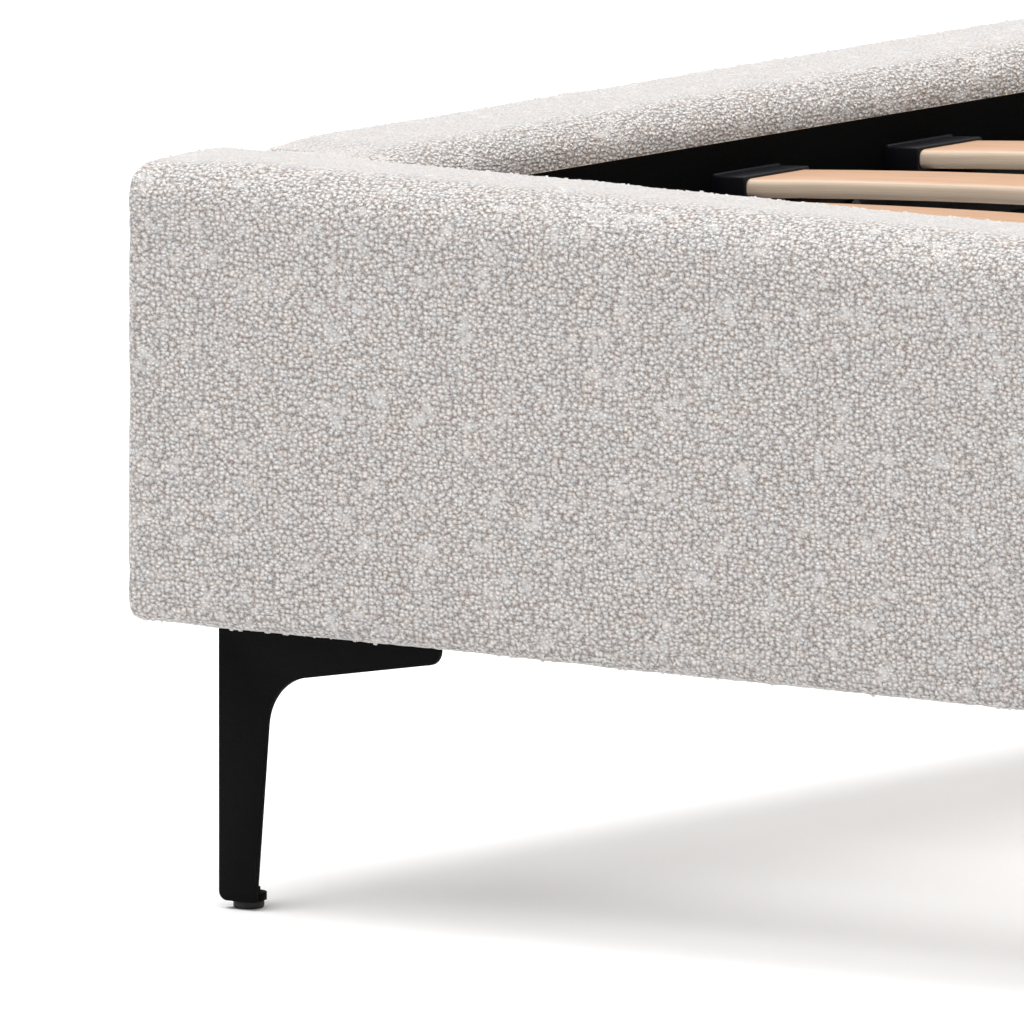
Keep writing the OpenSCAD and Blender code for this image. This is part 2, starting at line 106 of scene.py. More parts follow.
class Graph:
    """Short calls that add nodes to a node tree and link them."""

    def __init__(self, tree: bpy.types.NodeTree) -> None:
        """Takes the tree to add to."""
        self.nodes = tree.nodes
        self.links = tree.links

    def node(self, kind: str, settings: dict | None = None, inputs: dict | None = None) -> bpy.types.Node:
        """Adds a node of any type.

        Args:
            kind: The node's type.
            settings: The node's own properties, set before its sockets.
            inputs: Values or links of its sockets, by name or number.

        Returns:
            The new node.
        """
        made = self.nodes.new(kind)
        for key, value in (settings or {}).items():
            setattr(made, key, value)
        for key, value in (inputs or {}).items():
            self.feed(made.inputs[key], value)
        return made

    def feed(self, socket: bpy.types.NodeSocket, value: object) -> None:
        """Links a socket to another, or sets its own value."""
        if isinstance(value, Value):
            value = value.socket
        if isinstance(value, bpy.types.NodeSocket):
            self.links.new(value, socket)
        elif socket.type == "RGBA":
            socket.default_value = (*value, 1.0)
        else:
            socket.default_value = value

    def math(self, operation: str, *terms: Number) -> Value:
        """Adds a Math node over sockets and numbers."""
        made = self.node("ShaderNodeMath", {"operation": operation}, dict(enumerate(terms)))
        return Value(self, made.outputs[0])

    def vector(self, operation: str, *terms: object) -> bpy.types.NodeSocket:
        """Adds a Vector Math node."""
        made = self.node("ShaderNodeVectorMath", {"operation": operation}, dict(enumerate(terms)))
        return made.outputs[0]

    def parts(self, place: object) -> list[Value]:
        """The three numbers of a place, direction or colour."""
        made = self.node("ShaderNodeSeparateXYZ", None, {0: place})
        return [Value(self, socket) for socket in made.outputs]

    def step(self, value: Value, low: float, high: float) -> Value:
        """A smooth step from 0 to 1 between two levels of a value."""
        inputs = {"Value": value, "From Min": low, "From Max": high}
        made = self.node("ShaderNodeMapRange", {"interpolation_type": "SMOOTHSTEP"}, inputs)
        return Value(self, made.outputs["Result"])

    def mix(self, share: Number, first: object, second: object, blend: str = "MIX") -> bpy.types.NodeSocket:
        """Mixes two colours."""
        made = self.node("ShaderNodeMix", {"data_type": "RGBA", "blend_type": blend})
        for socket, value in zip((made.inputs[0], made.inputs[6], made.inputs[7]), (share, first, second)):
            self.feed(socket, value)
        return made.outputs[2]

    def ramp(self, value: Value, stops: Sequence[tuple[float, Colour]]) -> bpy.types.NodeSocket:
        """A colour ramp with the given stops."""
        made = self.node("ShaderNodeValToRGB", None, {"Fac": value})
        elements = made.color_ramp.elements
        while len(elements) < len(stops):
            elements.new(1.0)
        for element, (position, colour) in zip(elements, stops):
            element.position = position
            element.color = (*colour, 1.0)
        return made.outputs["Color"]


class Shader(Graph):
    """One material with a Principled surface, read in the piece's own place."""

    def __init__(self, name: str, **constants: float) -> None:
        """Starts a material and sets the constants on the surface's own sockets.

        Args:
            name: The material's name.
            constants: Socket values, with underscores for the spaces in their names.
        """
        self.material = bpy.data.materials.new(name)
        self.material.use_nodes = True
        super().__init__(self.material.node_tree)
        self.surface = self.nodes["Principled BSDF"]
        for key, value in constants.items():
            self.surface.inputs[key.replace("_", " ")].default_value = value
        self.place = self.node("ShaderNodeTexCoord").outputs["Object"]

    def noise(self, size: float, detail: float = 2.0, place: object = None) -> Value:
        """Noise with features of a size in metres."""
        return Value(self, self._noise(size, detail, place).outputs["Fac"])

    def _noise(self, size: float, detail: float, place: object) -> bpy.types.Node:
        """The Noise node behind noise() and warped()."""
        inputs = {"Vector": place or self.place, "Scale": 1.0 / size, "Detail": detail}
        return self.node("ShaderNodeTexNoise", None, inputs)

    def warped(self, size: float, reach: float, place: object = None) -> bpy.types.NodeSocket:
        """A place pushed about by noise of a size, as far as reach."""
        colour = self._noise(size, 1.0, None).outputs["Color"]
        centred = self.vector("SUBTRACT", colour, (0.5, 0.5, 0.5))
        return self.vector("MULTIPLY_ADD", centred, (reach, reach, reach), place or self.place)

    def cells(
        self, size: float, place: object = None, flat: bool = False, spread: float = 1.0
    ) -> tuple[Value, Value]:
        """Cells of a size in metres.

        Args:
            size: The cells' size.
            place: Where to read them, or the piece's own place.
            flat: Whether the cells lie in a sheet rather than in space.
            spread: How uneven they are, from 0 to 1.

        Returns:
            The distance to the nearest centre in cell sizes, and each cell's own random level.
        """
        inputs = {"Vector": place or self.place, "Scale": 1.0 / size, "Randomness": spread}
        made = self.node("ShaderNodeTexVoronoi", {"voronoi_dimensions": "2D" if flat else "3D"}, inputs)
        return Value(self, made.outputs["Distance"]), self.parts(made.outputs["Color"])[0]

    def weave(self, thread: float) -> Value:
        """A fine grid of threads, from 0 to 1."""
        waves = [self.math("SINE", part * (2 * math.pi / thread)) for part in self.parts(self.place)]
        return (waves[0] + waves[1] + waves[2]) * 0.17 + 0.5

    def bump(self, height: Value, depth: float) -> bpy.types.NodeSocket:
        """A bump from a height of 0 to 1 that stands for a depth in metres."""
        return self.node("ShaderNodeBump", None, {"Height": height, "Distance": depth}).outputs["Normal"]

    def finish(self, colour: object, roughness: object = None, normal: object = None) -> bpy.types.Material:
        """Feeds the surface and hands over the material."""
        for name, value in (("Base Color", colour), ("Roughness", roughness), ("Normal", normal)):
            if value is not None:
                self.feed(self.surface.inputs[name], value)
        return self.material


# ---------------------------------------------------------------- finishes


@dataclass(frozen=True)
class Boucle:
    """Looped wool upholstery cloth: small pale nubs, some run together, over a warmer ground, with painted
    shade in the gaps and a painted highlight on the nub tops.
    """

    nub: float = 2.5 * MM
    slub: float = 5.5 * MM
    curl: float = 1.2 * MM
    fibre: float = 0.8 * MM
    thin_patch: float = 10 * MM
    slub_patch: float = 14 * MM
    tint_patch: float = 8 * MM
    stretch: tuple[float, float, float] = (0.78, 1.08, 1.0)
    unevenness: float = 0.8
    nub_share: float = 0.8
    curl_share: float = 0.22
    fibre_share: float = 0.2
    slub_height: float = 0.45
    grazing_height: float = 0.62
    grazing_share: float = 0.72
    depth: float = 1.5 * MM
    roughness: float = 0.62
    # The gap colour is partly the ground's own warmer tone and partly painted shade; the tip colour is partly
    # the yarn's pale tone and partly a painted highlight.
    gap_shade_colour: Colour = (0.25, 0.21, 0.185)
    ground_colour: Colour = (0.47, 0.44, 0.42)
    yarn_colour: Colour = (0.645, 0.62, 0.60)
    tip_highlight_colour: Colour = (0.94, 0.93, 0.91)
    cool_tint: Colour = (0.95, 0.97, 1.0)
    plain_tint: Colour = (0.99, 0.99, 1.0)
    warm_tint: Colour = (1.0, 0.96, 0.945)

    def material(self) -> bpy.types.Material:
        """Builds the cloth, whose nubs follow the cover's own UV map."""
        s = Shader("boucle", Sheen_Weight=0.12, Sheen_Roughness=0.5, Specular_IOR_Level=0.25)
        height, patchy = self._pile(s)
        # Seen at a low angle, the nubs hide the gaps between them, so the painted shade of the gaps gives way
        # to a lighter, even yarn tone.
        facing = Value(s, s.node("ShaderNodeLayerWeight", None, {"Blend": 0.5}).outputs["Facing"])
        hidden = s.step(facing, 0.6, 0.95) * self.grazing_share
        seen = height + hidden * (self.grazing_height - height)
        # Colour follows the pile's height: painted shade darkest in the gaps, the ground's and yarn's own
        # tones between, a painted highlight on the nub tops.
        colour = s.ramp(seen, [
            (0.12, self.gap_shade_colour), (0.3, self.ground_colour),
            (0.55, self.yarn_colour), (0.9, self.tip_highlight_colour),
        ])
        tint = s.ramp(patchy, [(0.36, self.cool_tint), (0.5, self.plain_tint), (0.64, self.warm_tint)])
        colour = s.mix(1.0, colour, tint, "MULTIPLY")
        return s.finish(colour, self.roughness, s.bump(height, self.depth))

    def _pile(self, s: Shader) -> tuple[Value, Value]:
        """The height of the yarn, and a patchy level that tints it, both from 0 to 1."""
        uv = s.node("ShaderNodeUVMap", {"uv_map": "cloth"}).outputs["UV"]
        cloth = s.vector("MULTIPLY", uv, self.stretch)
        from_nub, tone = s.cells(self.nub, s.warped(5 * MM, 2.2 * MM, cloth), True, self.unevenness)
        from_slub, slub_tone = s.cells(self.slub, s.warped(8 * MM, 5 * MM, cloth), True)
        from_curl, _ = s.cells(self.curl, s.warped(2 * MM, 1.2 * MM, cloth), True)
        nub = 1.0 - s.step(from_nub, -0.05, 0.66)
        slub = (1.0 - s.step(from_slub, 0.1, 0.75)) * s.step(s.noise(self.slub_patch), 0.54, 0.66)
        curl = 1.0 - s.step(from_curl, 0.0, 0.8)
        worn = s.step(s.noise(self.thin_patch, 3.0), 0.36, 0.52) * 0.12 + 0.88
        pile = s.math("MAXIMUM", nub * (tone * 0.45 + 0.55) * worn, slub * self.slub_height)
        height = pile * self.nub_share + curl * self.curl_share
        height = height + s.noise(self.fibre, 1.0) * self.fibre_share
        return height, s.noise(self.tint_patch, 2.0) * 0.6 + slub_tone * 0.2 + tone * 0.2


@dataclass(frozen=True)
class Yarn:
    """The single loops of yarn that stand out of the cloth."""

    colour: Colour = (0.80, 0.785, 0.765)
    shade: Colour = (0.60, 0.57, 0.54)

    def material(self) -> bpy.types.Material:
        """Builds the yarn."""
        s = Shader("boucle_yarn", Sheen_Weight=0.12, Specular_IOR_Level=0.08)
        fibre = s.noise(0.5 * MM, 2.0)
        colour = s.mix(fibre * s.noise(6 * MM), self.colour, self.shade)
        return s.finish(colour, 0.95, s.bump(fibre, 0.2 * MM))


@dataclass(frozen=True)
class Beech:
    """Laminated beech under clear lacquer, read in the slat's own unbent place."""

    plies: int = 7
    face_colour: Colour = (0.60, 0.365, 0.225)
    streak_colour: Colour = (0.50, 0.285, 0.16)
    edge_colour: Colour = (0.68, 0.545, 0.42)
    glue_colour: Colour = (0.46, 0.34, 0.24)

    def material(self) -> bpy.types.Material:
        """Builds the wood."""
        s = Shader("slat_beech", Coat_Weight=0.15, Coat_Roughness=0.25)
        place = s.node("ShaderNodeAttribute", {"attribute_name": "unbent"}).outputs["Vector"]
        long_grain = s.vector("MULTIPLY", place, (0.05, 1.0, 1.0))
        grain = s.noise(3 * MM, 4.0, long_grain)
        flecks = s.step(s.noise(1.1 * MM, 2.0, s.vector("MULTIPLY", place, (0.12, 1.0, 1.0))), 0.6, 0.75)
        tone = s.noise(60 * MM, 2.0, long_grain)
        face = s.mix(s.step(grain, 0.35, 0.75), self.face_colour, self.streak_colour)
        face = s.mix(flecks * 0.35, face, self.streak_colour)
        layer = s.parts(place)[2] * (self.plies / (10 * MM))
        line = s.math("ABSOLUTE", s.math("FRACT", layer) - 0.5)
        glue = s.step(line, 0.36, 0.5)
        edge = s.mix(glue * 0.55, self.edge_colour, self.glue_colour)
        edge = s.mix(s.step(grain, 0.3, 0.8) * 0.35, edge, self.glue_colour)
        up = s.node("ShaderNodeNewGeometry").outputs["Normal"]
        facing = s.math("ABSOLUTE", s.parts(up)[2])
        colour = s.mix(s.step(facing, 0.72, 0.95), edge, face)
        colour = s.mix(s.step(tone, 0.35, 0.65) * 0.25, colour, self.edge_colour)
        height = grain * 0.6 + glue * 0.4
        return s.finish(colour, grain * 0.15 + 0.38, s.bump(height, 0.07 * MM))


@dataclass(frozen=True)
class Coated:
    """A fine-textured coat or a moulded skin in one dark or metallic tone."""

    name: str
    colour: Colour
    grain: float
    depth: float
    roughness: float
    spread: float = 0.1
    metallic: float = 0.0
    specular: float = 0.5

    def material(self) -> bpy.types.Material:
        """Builds the coat."""
        s = Shader(self.name, Metallic=self.metallic, Specular_IOR_Level=self.specular)
        fine = s.noise(self.grain, 2.0)
        pits = 1.0 - s.step(s.cells(self.grain * 2.2)[0], 0.05, 0.6)
        patchy = s.noise(40 * MM, 3.0)
        bright = tuple(min(1.0, c * 1.35 + 0.002) for c in self.colour)
        colour = s.mix(fine * patchy, self.colour, bright)
        height = fine * 0.6 + pits * 0.4
        return s.finish(colour, patchy * self.spread + self.roughness, s.bump(height, self.depth))


@dataclass(frozen=True)
class Woven:
    """A thin plain cloth, such as a lining."""

    name: str
    thread: float
    dark: Colour
    light: Colour

    def material(self) -> bpy.types.Material:
        """Builds the cloth."""
        s = Shader(self.name, Specular_IOR_Level=0.05)
        weave = s.weave(self.thread)
        fuzz = s.noise(2.5 * MM, 3.0)
        colour = s.mix(weave * 0.5 + fuzz * 0.5, self.dark, self.light)
        return s.finish(colour, 0.85, s.bump(weave * 0.6 + fuzz * 0.4, 0.25 * MM))


@dataclass(frozen=True)
class Timber:
    """Sawn softwood or plywood inside the padding."""

    light: Colour = (0.66, 0.50, 0.31)
    dark: Colour = (0.50, 0.34, 0.19)

    def material(self) -> bpy.types.Material:
        """Builds the wood."""
        s = Shader("timber")
        rings = s.noise(9 * MM, 4.0, s.vector("MULTIPLY", s.place, (0.06, 0.06, 1.0)))
        colour = s.mix(s.step(rings, 0.35, 0.7), self.light, self.dark)
        return s.finish(colour, 0.7, s.bump(rings, 0.3 * MM))


@dataclass(frozen=True)
class Foam:
    """Open-cell upholstery foam."""

    cell: float = 1.2 * MM
    colour: Colour = (0.86, 0.80, 0.58)
    shade: Colour = (0.70, 0.62, 0.40)

    def material(self) -> bpy.types.Material:
        """Builds the foam."""
        s = Shader("foam")
        open_cells = s.step(s.cells(self.cell)[0], 0.1, 0.6)
        return s.finish(s.mix(open_cells, self.shade, self.colour), 0.95, s.bump(open_cells, 0.5 * MM))


class Finish(Enum):
    """The finishes, by the record's slot names."""

    BOUCLE = "boucle"
    YARN = "yarn"
    FOAM = "foam"
    TIMBER = "timber"
    LINER = "liner"
    BEECH = "slat_beech"
    CAP = "cap_plastic"
    STEEL = "black_steel"
    ZINC = "zinc_steel"
    GLIDE = "glide_plastic"


FINISHES = {
    Finish.BOUCLE: Boucle(),
    Finish.YARN: Yarn(),
    Finish.FOAM: Foam(),
    Finish.TIMBER: Timber(),
    Finish.LINER: Woven("liner", 1.1 * MM, (0.0015, 0.0015, 0.0015), (0.0035, 0.0035, 0.0035)),
    Finish.BEECH: Beech(),
    Finish.CAP: Coated("cap_plastic", (0.005, 0.005, 0.007), 0.7 * MM, 0.04 * MM, 0.34, specular=0.22),
    Finish.STEEL: Coated("black_steel", (0.0022, 0.0022, 0.0023), 0.9 * MM, 0.2 * MM, 0.5, specular=0.06),
    Finish.ZINC: Coated("zinc_steel", (0.05, 0.05, 0.05), 1.5 * MM, 0.03 * MM, 0.35, 0.15, 1.0),
    Finish.GLIDE: Coated("glide_plastic", (0.012, 0.012, 0.012), 0.8 * MM, 0.04 * MM, 0.45),
}


class Wardrobe:
    """Makes each finish once and puts it on pieces."""

    def __init__(self) -> None:
        """Builds every finish."""
        self.materials = {kind: maker.material() for kind, maker in FINISHES.items()}

    def dress(self, piece: bpy.types.Object, kind: Finish) -> None:
        """Gives a piece one finish."""
        piece.data.materials.clear()
        piece.data.materials.append(self.materials[kind])


# ---------------------------------------------------------------- modelling helpers


def deselect() -> None:
    """Leaves edit mode and deselects every object."""
    if bpy.context.object and bpy.context.object.mode != "OBJECT":
        bpy.ops.object.mode_set(mode="OBJECT")
    bpy.ops.object.select_all(action="DESELECT")


def pick(piece: bpy.types.Object) -> None:
    """Selects one object alone and makes it active."""
    deselect()
    piece.select_set(True)
    bpy.context.view_layer.objects.active = piece


def new_piece(name: str, verts: np.ndarray, faces: Sequence[Sequence[int]]) -> bpy.types.Object:
    """Adds a mesh object from points and faces."""
    mesh = bpy.data.meshes.new(name)
    mesh.from_pydata([tuple(v) for v in verts], [], [list(f) for f in faces])
    piece = bpy.data.objects.new(name, mesh)
    bpy.context.scene.collection.objects.link(piece)
    return piece


def add_modifier(piece: bpy.types.Object, kind: str, **settings: object) -> bpy.types.Modifier:
    """Adds a modifier with its settings."""
    made = piece.modifiers.new(kind.lower(), kind)
    for key, value in settings.items():
        setattr(made, key, value)
    return made


def apply_modifiers(piece: bpy.types.Object) -> None:
    """Applies every modifier of a piece, in order."""
    pick(piece)
    for modifier in list(piece.modifiers):
        bpy.ops.object.modifier_apply(modifier=modifier.name)


def clean(piece: bpy.types.Object, distance: float = 0.02 * MM, angle: float | None = None) -> None:
    """Merges doubles, clears flat edges if an angle is given, and turns faces outwards."""
    pick(piece)
    bpy.ops.object.mode_set(mode="EDIT")
    bpy.ops.mesh.select_all(action="SELECT")
    bpy.ops.mesh.remove_doubles(threshold=distance)
    if angle is not None:
        bpy.ops.mesh.dissolve_limited(angle_limit=angle)
    bpy.ops.mesh.select_all(action="SELECT")
    bpy.ops.mesh.normals_make_consistent(inside=False)
    bpy.ops.object.mode_set(mode="OBJECT")


def smooth(piece: bpy.types.Object, angle: float = math.radians(40)) -> None:
    """Shades a piece smooth up to an angle."""
    pick(piece)
    bpy.ops.object.shade_smooth_by_angle(angle=angle)


def points_of(piece: bpy.types.Object) -> np.ndarray:
    """The piece's points as rows."""
    flat = np.zeros(len(piece.data.vertices) * 3, np.float32)
    piece.data.vertices.foreach_get("co", flat)
    return flat.reshape(-1, 3).astype(float)


def move_points(piece: bpy.types.Object, points: np.ndarray) -> None:
    """Puts the piece's points at new places."""
    piece.data.vertices.foreach_set("co", points.astype(np.float32).ravel())
    piece.data.update()


def tightened(p: np.ndarray, height: float, radius: float, face: float, share: np.ndarray) -> np.ndarray:
    """Pushes one rounded upper edge of a section out towards its sharp corner.

    Args:
        p: Points as length, depth and height.
        height: The section's height.
        radius: The edge's radius.
        face: Depth of the face that the edge belongs to.
        share: How far each point goes at the middle of the arc, in radii.

    Returns:
        The moved points.
    """
    outward = -1.0 if face == 0.0 else 1.0
    across = (p[:, 1] - (face - outward * radius)) * outward
    up = p[:, 2] - (height - radius)
    on_arc = (across > 0) & (up > 0)
    middle = 2 * across * up / np.maximum(across**2 + up**2, 1e-12)
    push = np.where(on_arc, share * middle**2, 0.0)
    moved = p.copy()
    moved[:, 1] += across * push * outward
    moved[:, 2] += up * push
    return moved


def soft_step(value: np.ndarray, low: float, high: float) -> np.ndarray:
    """A smooth step from 0 at low to 1 at high."""
    t = np.clip((value - low) / (high - low), 0.0, 1.0)
    return t * t * (3 - 2 * t)


# ---------------------------------------------------------------- padded covers


@dataclass
class Profile:
    """A padded section: a rounded rectangle of depth by height, with a recess for a lining.

    The radii run from the lower outer corner round: lower outer, lower inner, upper inner, upper outer.
    """

    depth: float
    height: float
    radii: tuple[float, float, float, float]
    spacing: float
    recess: float = 0.0
    recess_from: float = 0.0
    recess_to: float = 0.0
    recess_outside: bool = False

    def ring(self) -> tuple[np.ndarray, np.ndarray]:
        """Points of the section and their outward normals, in depth and height.

        Returns:
            Two arrays of rows, going round from the lower outer corner.
        """
        corners = [
            ((self.radii[0], self.radii[0]), math.pi),
            ((self.depth - self.radii[1], self.radii[1]), 1.5 * math.pi),
            ((self.depth - self.radii[2], self.height - self.radii[2]), 0.0),
            ((self.radii[3], self.height - self.radii[3]), 0.5 * math.pi),
        ]
        points, normals = [], []
        for i, ((cx, cz), start) in enumerate(corners):
            radius = self.radii[i]
            steps = max(4, round(radius * math.pi / 2 / self.spacing))
            for j in range(steps + 1):
                angle = start + j / steps * math.pi / 2
                points.append((cx + radius * math.cos(angle), cz + radius * math.sin(angle)))
                normals.append((math.cos(angle), math.sin(angle)))
            centre, following = corners[(i + 1) % 4]
            reach = self.radii[(i + 1) % 4] * np.array((math.cos(following), math.sin(following)))
            for mark in self._marks(np.array(points[-1]), np.array(centre) + reach, i):
                points.append(tuple(mark))
                normals.append(normals[-1])
        points, normals = np.array(points), np.array(normals)
        facing = -normals[:, 0] if self.recess_outside else normals[:, 0]
        edge = 2 * MM
        inside = soft_step(points[:, 1], self.recess_from - edge, self.recess_from)
        inside *= 1 - soft_step(points[:, 1], self.recess_to, self.recess_to + edge)
        points -= normals * (self.recess * inside * (facing > 0.9))[:, None]
        return points, normals

    def _marks(self, start: np.ndarray, goal: np.ndarray, side: int) -> list[np.ndarray]:
        """Points along one straight side, closer together at the recess's edges."""
        length = np.linalg.norm(goal - start)
        count = max(2, round(length / self.spacing))
        shares = {i / count for i in range(1, count)}
        if self.recess and side == (3 if self.recess_outside else 1):
            for level in (self.recess_from, self.recess_to):
                for shift in (-2.5, -1.0, 0.0, 1.0, 2.5):
                    shares.add(abs(level + shift * MM - start[1]) / length)
        return [start + (goal - start) * share for share in sorted(shares) if 0.001 < share < 0.999]


@dataclass
class PaddedCover:
    """A fabric cover pulled over foam, as one closed crowned form.

    It is drawn along its length from a section, rounded at both ends, and sits at an origin with
    its length along one axis and its depth, from the outer face in, along another.
    """

    name: str
    nodes: tuple[str, ...]
    origin: Vector
    along: Vector
    inward: Vector
    length: float
    profile: Profile
    end_top: tuple[float, float]
    end_side: tuple[float, float]
    end_bottom: float
    crown_face: float = 2.0 * MM
    crown_top: float = 0.6 * MM
    fill: float = 0.8
    shape: Callable[[np.ndarray], np.ndarray] | None = None

    def _stations(self) -> np.ndarray:
        """Places along the length, closer together where the ends are rounded."""
        near = max(self.end_top[0], self.end_side[0], self.end_bottom)
        far = max(self.end_top[1], self.end_side[1], self.end_bottom)
        bend = 1 - np.cos(np.linspace(0, math.pi / 2, 7))
        count = round((self.length - near - far) / self.profile.spacing)
        middle = np.linspace(near, self.length - far, count + 1)
        return np.concatenate([near * bend[:-1], middle, (self.length - far * bend[:-1])[::-1]])

    def _end_inset(self, station: float, normals: np.ndarray) -> np.ndarray:
        """How far the section shrinks at a station, at each of its points."""
        inset = np.zeros(len(normals))
        for end, distance in enumerate((station, self.length - station)):
            vertical = np.where(normals[:, 1] > 0, self.end_top[end], self.end_bottom)
            radius = vertical * normals[:, 1] ** 2 + self.end_side[end] * normals[:, 0] ** 2
            short = np.clip(radius - distance, 0, None)
            inset += radius - np.sqrt(np.clip(radius**2 - short**2, 0, None))
        return inset

    def _local_mesh(self) -> tuple[np.ndarray, list[list[int]], np.ndarray]:
        """Makes the closed form.

        Returns:
            Points as length, depth and height, the faces that join them, and the cloth's place at
            each face's corners.
        """
        ring, normals = self.profile.ring()
        count = len(ring)
        rows = []
        stations = self._stations()
        for station in stations:
            section = ring - normals * self._end_inset(station, normals)[:, None]
            rows.append(np.column_stack([np.full(count, station), section]))
        cap_rings = max(3, round(self.profile.depth / 2 / self.profile.spacing))
        for end in (0, -1):
            rim = rows[end]
            margin = self.profile.depth * 0.45
            spine = rim.copy()
            spine[:, 1] = self.profile.depth / 2
            spine[:, 2] = np.clip(rim[:, 2], margin, self.profile.height - margin)
            caps = [rim + (spine - rim) * j / cap_rings for j in range(1, cap_rings + 1)]
            rows = caps[::-1] + rows if end == 0 else rows + caps
        verts = np.concatenate(rows)
        arc = np.concatenate([[0], np.cumsum(np.linalg.norm(np.roll(ring, -1, 0) - ring, axis=1))])
        faces, cloth = [], []
        for row in range(len(rows) - 1):
            on_end = not cap_rings <= row < len(rows) - 1 - cap_rings
            for k in range(count):
                here, there = row * count + k, row * count + (k + 1) % count
                faces.append([here, there, there + count, here + count])
                if on_end:
                    cloth += [verts[i][1:] for i in faces[-1]]
                else:
                    along, beyond = verts[here][0], verts[here + count][0]
                    cloth += [(along, arc[k]), (along, arc[k + 1]), (beyond, arc[k + 1]), (beyond, arc[k])]
        return verts, faces, np.array(cloth)

    def _crown(self, p: np.ndarray) -> np.ndarray:
        """Swells the faces a little between their edges."""
        s, t, z = p[:, 0] / self.length, p[:, 1] / self.profile.depth, p[:, 2] / self.profile.height
        ends = 1 - np.abs(2 * s - 1) ** 14
        level = (1 - np.abs(2 * np.clip(z, 0, 1) - 1) ** 2.6) * ends
        across = (1 - (2 * np.clip(t, 0, 1) - 1) ** 2) * ends
        outer = 1 - soft_step(t, 0.02, 0.3)
        upper = soft_step(z, 0.9, 0.99)
        swollen = p.copy()
        swollen[:, 1] -= self.crown_face * level * outer
        swollen[:, 2] += self.crown_top * across * upper
        return swollen

    def build(self, wardrobe: Wardrobe) -> bpy.types.Object:
        """Builds the cover, dresses it and puts it on the bed.

        Returns:
            The finished piece.
        """
        verts, faces, cloth = self._local_mesh()
        verts = self._crown(verts)
        if self.shape is not None:
            verts = self.shape(verts)
        basis = np.array([self.along, self.inward, Vector((0, 0, 1))], float)
        piece = new_piece(self.name, verts @ basis + np.array(self.origin, float), faces)
        layer = piece.data.uv_layers.new(name="cloth")
        layer.data.foreach_set("uv", cloth.astype(np.float32).ravel())
        clean(piece)
        add_modifier(piece, "SUBSURF", levels=1, render_levels=1)
        apply_modifiers(piece)
        self._rumple(piece)
        piece.data.shade_smooth()
        wardrobe.dress(piece, Finish.BOUCLE)
        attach(piece, BED)
        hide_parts(*self.nodes)
        return piece

    def _rumple(self, piece: bpy.types.Object) -> None:
        """Gives the cloth the long waves of its foam and the lumps of its yarn."""
        for name, size, reach in (("foam_waves", 110 * MM, 1.6 * MM), ("yarn_lumps", 7 * MM, 1.3 * MM)):
            texture = bpy.data.textures.get(name) or bpy.data.textures.new(name, "CLOUDS")
            texture.noise_scale = size
            add_modifier(
                piece, "DISPLACE", texture=texture, strength=reach, mid_level=0.5, texture_coords="LOCAL",
            )
        apply_modifiers(piece)


@dataclass
class YarnLoops:
    """Small loops of yarn that stand out of a cover along its rounded upper and lower edges."""

    spacing: float = 4.8 * MM
    steepest: float = 0.3
    flattest: float = 0.985
    scatter: float = 1.2 * MM
    radius: float = 0.9 * MM
    yarn: float = 0.6 * MM
    arch_from: float = math.radians(-12)
    sunk: float = 0.75
    sizes: Span = (0.7, 1.25)
    rings: int = 4
    seed: int = 7

    def _arch(self) -> tuple[np.ndarray, np.ndarray]:
        """One arch of yarn that spans along X and rises along Z, with four points to a ring."""
        verts, faces = [], []
        for i in range(self.rings):
            bend = self.arch_from + (math.pi - 2 * self.arch_from) * i / (self.rings - 1)
            centre = np.array([math.cos(bend), 0.0, math.sin(bend)]) * self.radius
            out = centre / self.radius
            for j in range(4):
                turn = math.pi / 2 * j + math.pi / 4
                verts.append(centre + self.yarn * (out * math.cos(turn) + np.array([0, math.sin(turn), 0])))
        for i in range(self.rings - 1):
            for j in range(4):
                a, b = 4 * i + j, 4 * i + (j + 1) % 4
                faces.append([a, a + 4, b + 4, b])
        return np.array(verts), np.array(faces)

    def build(self, cover: bpy.types.Object, wardrobe: Wardrobe) -> bpy.types.Object:
        """Scatters loops over a cover's rounded edges, where it faces neither level nor straight up or down.

        Args:
            cover: The finished cover.
            wardrobe: The finishes.

        Returns:
            The loops, as one piece.
        """
        rng = np.random.default_rng(self.seed)
        mesh = cover.data
        centres = np.zeros(len(mesh.polygons) * 3, np.float32)
        normals = np.zeros(len(mesh.polygons) * 3, np.float32)
        areas = np.zeros(len(mesh.polygons), np.float32)
        mesh.polygons.foreach_get("center", centres)
        mesh.polygons.foreach_get("normal", normals)
        mesh.polygons.foreach_get("area", areas)
        centres, normals = centres.reshape(-1, 3).astype(float), normals.reshape(-1, 3).astype(float)
        slope = np.abs(normals[:, 2])
        chance = areas / self.spacing**2 * ((slope > self.steepest) & (slope < self.flattest))
        chosen = np.nonzero(rng.random(len(chance)) < chance)[0]
        arch, faces = self._arch()
        out = normals[chosen]
        side = np.cross(out, rng.normal(size=out.shape))
        side /= np.linalg.norm(side, axis=1, keepdims=True)
        third = np.cross(out, side)
        grow = rng.uniform(*self.sizes, (len(chosen), 1, 1))
        drift = rng.normal(size=out.shape) * self.scatter
        drift -= out * np.sum(drift * out, axis=1, keepdims=True)
        root = centres[chosen] + drift - out * self.radius * self.sunk
        axes = np.stack([side, third, out], axis=1)
        verts = (root[:, None, :] + grow * (arch @ axes)).reshape(-1, 3)
        starts = len(arch) * np.arange(len(chosen))[:, None, None]
        piece = new_piece(f"{cover.name}_loops", verts, (faces[None] + starts).reshape(-1, 4))
        piece.data.shade_smooth()
        wardrobe.dress(piece, Finish.YARN)
        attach(piece, BED)
        return piece


